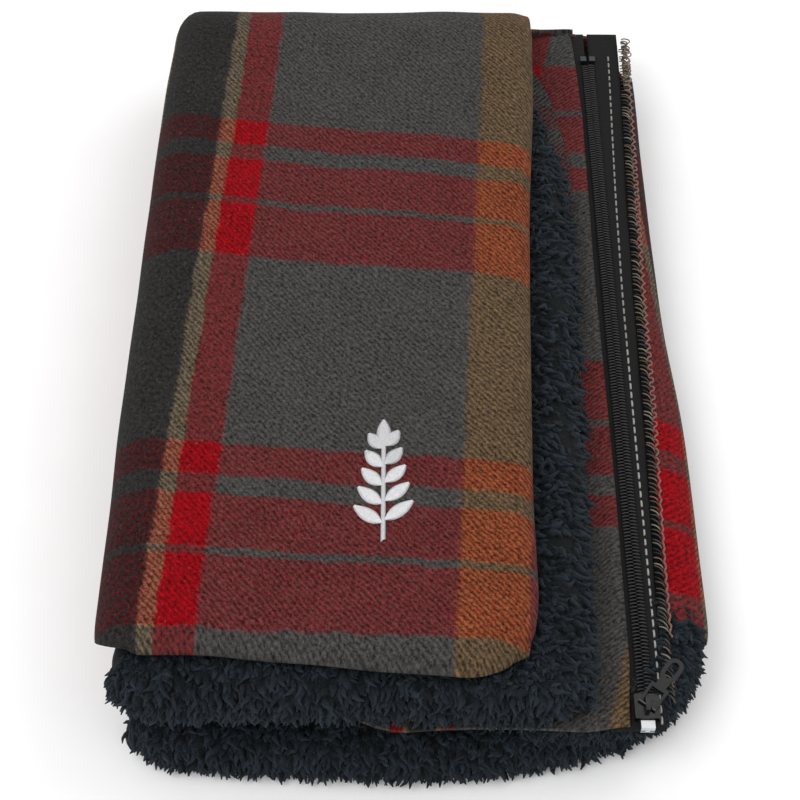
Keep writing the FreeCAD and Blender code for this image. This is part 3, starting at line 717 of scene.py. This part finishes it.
def sprig(p):
    """A leafy sprig in satin stitch: close threads laid across each leaf, whose width is a sine of its length."""
    middle = (SPRIG_LOW + SPRIG_HIGH) / 2
    tall = SPRIG_HIGH[1] - SPRIG_LOW[1]
    base = SPRIG_LOW[1]
    pieces = []
    leaves = []
    for i in range(5):
        at = base + tall * (0.14 + 0.155 * i)
        size = 12.5 - 1.1 * i
        for hand in (-1, 1):
            leaves.append((middle[0] + hand * 0.7, at + (1.2 if hand > 0 else 0), hand * np.radians(52 - 4 * i), size))
    leaves.append((middle[0], base + tall - 11, 0.0, 11.0))
    for x0, y0, lean, size in leaves:
        count = int(size / 0.42)
        s = (np.arange(count) + 0.5)[:, None] / count
        wide = 2.5 * np.sin(np.pi * s**0.85) ** 0.8 + 0.15
        t = np.linspace(-1, 1, 6)[None]
        along = s * size + 0.9 * np.abs(t) - 0.4
        across = wide * t
        x = x0 + along * np.sin(lean) + across * np.cos(lean)
        y = y0 + along * np.cos(lean) - across * np.sin(lean)
        pieces.append(np.stack([x, y, 0.75 * (1 - t**4) + 0 * s], -1))
    s = np.linspace(0, 1, int(tall * 0.84 / 0.5))[:, None]
    t = np.linspace(-1, 1, 6)[None]
    pieces.append(np.stack([middle[0] + 0.8 * t + 0.0 * s, base + tall * 0.84 * s + 0.5 * t, 0.8 * (1 - t**4) + 0 * s], -1))
    path = np.concatenate(pieces)
    path[:, :, 2] += ripple(path[:, :, 0], path[:, :, 1]) + UPPER_MID + ROLL - 0.1
    return tubes("sprig_satin_stitch", path, 0.27, sides=5, squash=0.8)


# ------------------------------------------------------------------ settings and operators


def tint(name, text, code):
    """A colour setting."""
    return bpy.props.FloatVectorProperty(name=name, description=text, default=colour(code), size=4, subtype="COLOR", min=0, max=1)


def size(name, text, value):
    """A length setting in metres."""
    return bpy.props.FloatProperty(name=name, description=text, default=value, unit="LENGTH", min=0.00001, precision=5)


class BlanketSettings(bpy.types.PropertyGroup):
    """Sizes and colours of the blanket."""

    wool_thickness: size("Cloth thickness", "Thickness of the brushed cloth", 0.0019)
    twill_pitch: size("Twill pitch", "Distance between two twill lines as drawn", 0.00175)
    weft_repeat: size("Tartan repeat", "Length of one repeat of the weft stripes", 0.1635)
    lock_length: size("Lock length", "Length of a curl of pile", 0.0066)
    lock_width: size("Lock width", "Width of a curl of pile at its root", 0.003)
    coil_pitch: size("Coil pitch", "Distance between two turns of the zip coil", 0.00145)
    stitch_pitch: size("Stitch pitch", "Distance between two stitches on the tape", 0.0043)
    grey_yarn: tint("Grey yarn", "Main grey of the tartan", "#413F3D")
    red_yarn: tint("Red yarn", "Red of the tartan", "#84000B")
    camel_yarn: tint("Camel yarn", "Camel of the tartan", "#725632")
    charcoal_yarn: tint("Charcoal yarn", "Darkest yarn of the tartan", "#212020")
    tan_yarn: tint("Tan yarn", "Narrow tan stripe", "#6C5C44")
    plum_yarn: tint("Warm grey yarn", "Grey beyond the camel stripe", "#4C4243")
    nap_colour: tint("Nap", "Pale fibres raised by brushing", "#8A7F78")
    # the pile's depths and tips are painted shade and painted light on the one pile colour
    pile_colour: tint("Pile", "Main colour of the curly pile", "#0E1418")
    pile_painted_shade: tint("Pile depths", "Colour deep between the curls", "#040506")
    pile_tip_painted_light: tint("Pile tips", "Colour of the tips of the curls", "#27313A")
    tape_colour: tint("Tape", "Colour of the zip tape", "#1E1E1E")
    thread_colour: tint("Embroidery", "Colour of the embroidered sprig", "#D6D6D8")


def settings():
    return bpy.context.scene.blanket


def need(done):
    """Raises an error if a piece wasn't made."""
    if not done:
        raise RuntimeError("a piece of the blanket could not be built")
    return {"FINISHED"}


class BLANKET_OT_cloth(bpy.types.Operator):
    """Builds the folded tartan shell"""

    bl_idname = "blanket.cloth"
    bl_label = "Tartan shell"

    def execute(self, context):
        p = settings()
        obj = dress(tartan(p), "blanket", brushed_tartan(p), ("tartan_shell",))
        return need(len(obj.data.polygons))


class BLANKET_OT_pile(bpy.types.Operator):
    """Builds the curly pile lining"""

    bl_idname = "blanket.pile"
    bl_label = "Pile lining"

    def execute(self, context):
        p = settings()
        look = curly_pile(p)
        made = pile(p)
        for obj in made:
            dress(obj, "blanket", look, ("pile_lining",) if obj is made[0] else ())
        return need(made)


class BLANKET_OT_zip(bpy.types.Operator):
    """Builds the zip's tapes, coils and stops"""

    bl_idname = "blanket.zip"
    bl_label = "Zip"

    def execute(self, context):
        p = settings()
        look = woven_tape(p)
        inner = tape("zip_tape_hidden", lambda y: INNER_LOW[0] + 0 * y, lambda y: INNER_HIGH[0] + 0 * y, 0.0001)
        outer = tape("zip_tape_shown", lambda y: TAPE_LOW[0] + 0 * y, TAPE_RIGHT, 0.35)
        dress(inner, "blanket", look, ("zip_tape_inner",))
        dress(outer, "blanket", look, ("zip_tape_outer",))
        nylon = satin("moulded_nylon_coil", colour("#08080A"), 0.0, 0.45, colour("#131315"))
        pitch = p.coil_pitch / MM
        dress(coil("coil_left", -1, 0.0, pitch), "blanket", nylon, ("zip_coil_inner",))
        dress(coil("coil_right", 1, pitch / 2, pitch), "blanket", nylon, ("zip_coil_outer",))
        crimp = satin("pressed_aluminium_crimp", colour("#C9CACC"), 1.0, 0.3, colour("#9FA0A3"))
        # the top stops get a darker, duller grey aluminium than the bottom stop
        dull = satin("darkened_aluminium_crimp", colour("#4A4B4E"), 1.0, 0.45, colour("#2E2F31"))
        for name in ("zip_bottom_stop", "zip_top_stops"):
            finish_cad(name, crimp if "bottom" in name else dull, 0.25)
        return need(outer.data.polygons)


def finish_cad(name, look, edge):
    """A CAD node that is shown as it is: its material, and softened edges of that many millimetres."""
    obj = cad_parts[name]
    obj.data.materials.clear()
    obj.data.materials.append(look)
    soft = obj.modifiers.new("soft edges", "BEVEL")
    soft.width = edge * MM
    soft.segments = 2
    soft.limit_method = "ANGLE"
    soft.angle_limit = 0.6
    return obj


class BLANKET_OT_threads(bpy.types.Operator):
    """Builds the stitches, the overlocking and the frayed end"""

    bl_idname = "blanket.threads"
    bl_label = "Threads"

    def execute(self, context):
        p = settings()
        pale = spun_thread("spun_polyester_thread", [(0.0, colour("#9C9A96")), (0.5, colour("#8A8884"))])
        dress(stitches(p), "blanket", pale, ("tape_stitches",))
        mixed = spun_thread("overlock_thread", [(0.0, colour("#4A4030")), (0.3, colour("#6E6656")), (0.5, colour("#3A3836")),
                                               (0.66, colour("#857C6A")), (0.78, colour("#141312")), (0.9, colour("#7A5A52"))])
        slants, loops, frayed = serging(p)
        dress(slants, "blanket", mixed, ("serged_seam_edge",))
        dress(loops, "blanket", mixed, ("serged_wrap_edge",))
        dress(frayed, "blanket", mixed)
        return need(loops.data.polygons)


class BLANKET_OT_sprig(bpy.types.Operator):
    """Builds the embroidered sprig"""

    bl_idname = "blanket.sprig"
    bl_label = "Sprig"

    def execute(self, context):
        p = settings()
        tone = tuple(p.thread_colour)
        look = spun_thread("rayon_embroidery_thread", [(0.0, tone), (0.5, colour("#C6C6C9"))], 0.45)
        obj = dress(sprig(p), "blanket", look, ("embroidered_sprig",))
        return need(obj.data.polygons)


class BLANKET_OT_slider(bpy.types.Operator):
    """Finishes the slider, its lock spring and its pull tab"""

    bl_idname = "blanket.slider"
    bl_label = "Slider and pull tab"

    def execute(self, context):
        enamel = satin("enamelled_die_cast_zinc", colour("#0C0C0E"), 0.0, 0.16, colour("#18181B"))
        steel = satin("rolled_spring_steel", colour("#B9BABD"), 1.0, 0.32, colour("#8E8F93"))
        for name in ("slider_body", "slider_crown", "pull_tab"):
            finish_cad(name, enamel, 0.3)
        finish_cad("slider_lock_spring", steel, 0.1)
        return {"FINISHED"}


class BLANKET_OT_stage(bpy.types.Operator):
    """Sets the floor, the soft studio light and the camera"""

    bl_idname = "blanket.stage"
    bl_label = "Stage"

    def execute(self, context):
        scene = context.scene
        scene.view_settings.view_transform = "Standard"
        mesh = bpy.data.meshes.new("floor")
        mesh.from_pydata([(-4, -4, 0), (4, -4, 0), (4, 4, 0), (-4, 4, 0)], [], [(0, 1, 2, 3)])
        floor = bpy.data.objects.new("floor", mesh)
        scene.collection.objects.link(floor)
        m, tree, shader, place = material("matte_paper_floor")
        shader.inputs["Roughness"].default_value = 0.9
        grain = noise(tree, place, 40.0, 2.0)
        tree.links.new(ramp(tree, grain, [(0.0, colour("#FAFAFA")), (1.0, colour("#FFFFFF"))]), shader.inputs["Base Color"])
        mesh.materials.append(m)
        world = bpy.data.worlds.new("studio")
        scene.world = world
        world.use_nodes = True
        tree = world.node_tree
        tree.nodes.clear()
        path = node(tree, "LightPath")
        seen = maths(tree, "MAXIMUM", path.outputs["Is Camera Ray"], maths(tree, "MAXIMUM", path.outputs["Is Glossy Ray"], path.outputs["Is Transmission Ray"]))
        soft = node(tree, "Background", {0: (1, 1, 1, 1), 1: 0.8})
        white = node(tree, "Background", {0: (1, 1, 1, 1), 1: 1.0})
        both = node(tree, "MixShader", {0: seen, 1: soft.outputs[0], 2: white.outputs[0]})
        node(tree, "OutputWorld", {0: both.outputs[0]})
        for name, place, power, wide in (("key", (-0.7, -0.5, 1.4), 8.5, 0.9), ("fill", (0.9, 0.5, 1.3), 4.2, 0.9)):
            lamp = bpy.data.lights.new(name, "AREA")
            lamp.energy, lamp.size = power, wide
            obj = bpy.data.objects.new(name, lamp)
            obj.location = place
            obj.rotation_euler = (Vector((0, 0, 0)) - Vector(place)).to_track_quat("-Z", "Y").to_euler()
            scene.collection.objects.link(obj)
        lens = bpy.data.cameras.new("camera")
        lens.lens, lens.sensor_width = 75.6, 36.0
        cam = bpy.data.objects.new("camera", lens)
        cam.location = (-0.0035, -0.4179, 0.5854)
        cam.rotation_euler = (np.radians(35.0), 0, 0)
        scene.collection.objects.link(cam)
        scene.camera = cam
        return {"FINISHED"}


OPERATORS = (BLANKET_OT_cloth, BLANKET_OT_pile, BLANKET_OT_zip, BLANKET_OT_threads, BLANKET_OT_sprig, BLANKET_OT_slider, BLANKET_OT_stage)


class BLANKET_PT_panel(bpy.types.Panel):
    """Lists the settings and the pieces"""

    bl_label = "Lap blanket"
    bl_idname = "BLANKET_PT_panel"
    bl_space_type = "VIEW_3D"
    bl_region_type = "UI"
    bl_category = "Blanket"

    def draw(self, context):
        for key in BlanketSettings.__annotations__:
            self.layout.prop(context.scene.blanket, key)
        for op in OPERATORS:
            self.layout.operator(op.bl_idname)


CLASSES = (BlanketSettings,) + OPERATORS + (BLANKET_PT_panel,)


def register():
    for c in CLASSES:
        bpy.utils.register_class(c)
    bpy.types.Scene.blanket = bpy.props.PointerProperty(type=BlanketSettings)


def unregister():
    del bpy.types.Scene.blanket
    for c in reversed(CLASSES):
        bpy.utils.unregister_class(c)


def main():
    """Registers the add-on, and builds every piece."""
    register()
    for op in OPERATORS:
        group, call = op.bl_idname.split(".")
        getattr(getattr(bpy.ops, group), call)()


if __name__ == "__main__":
    main()
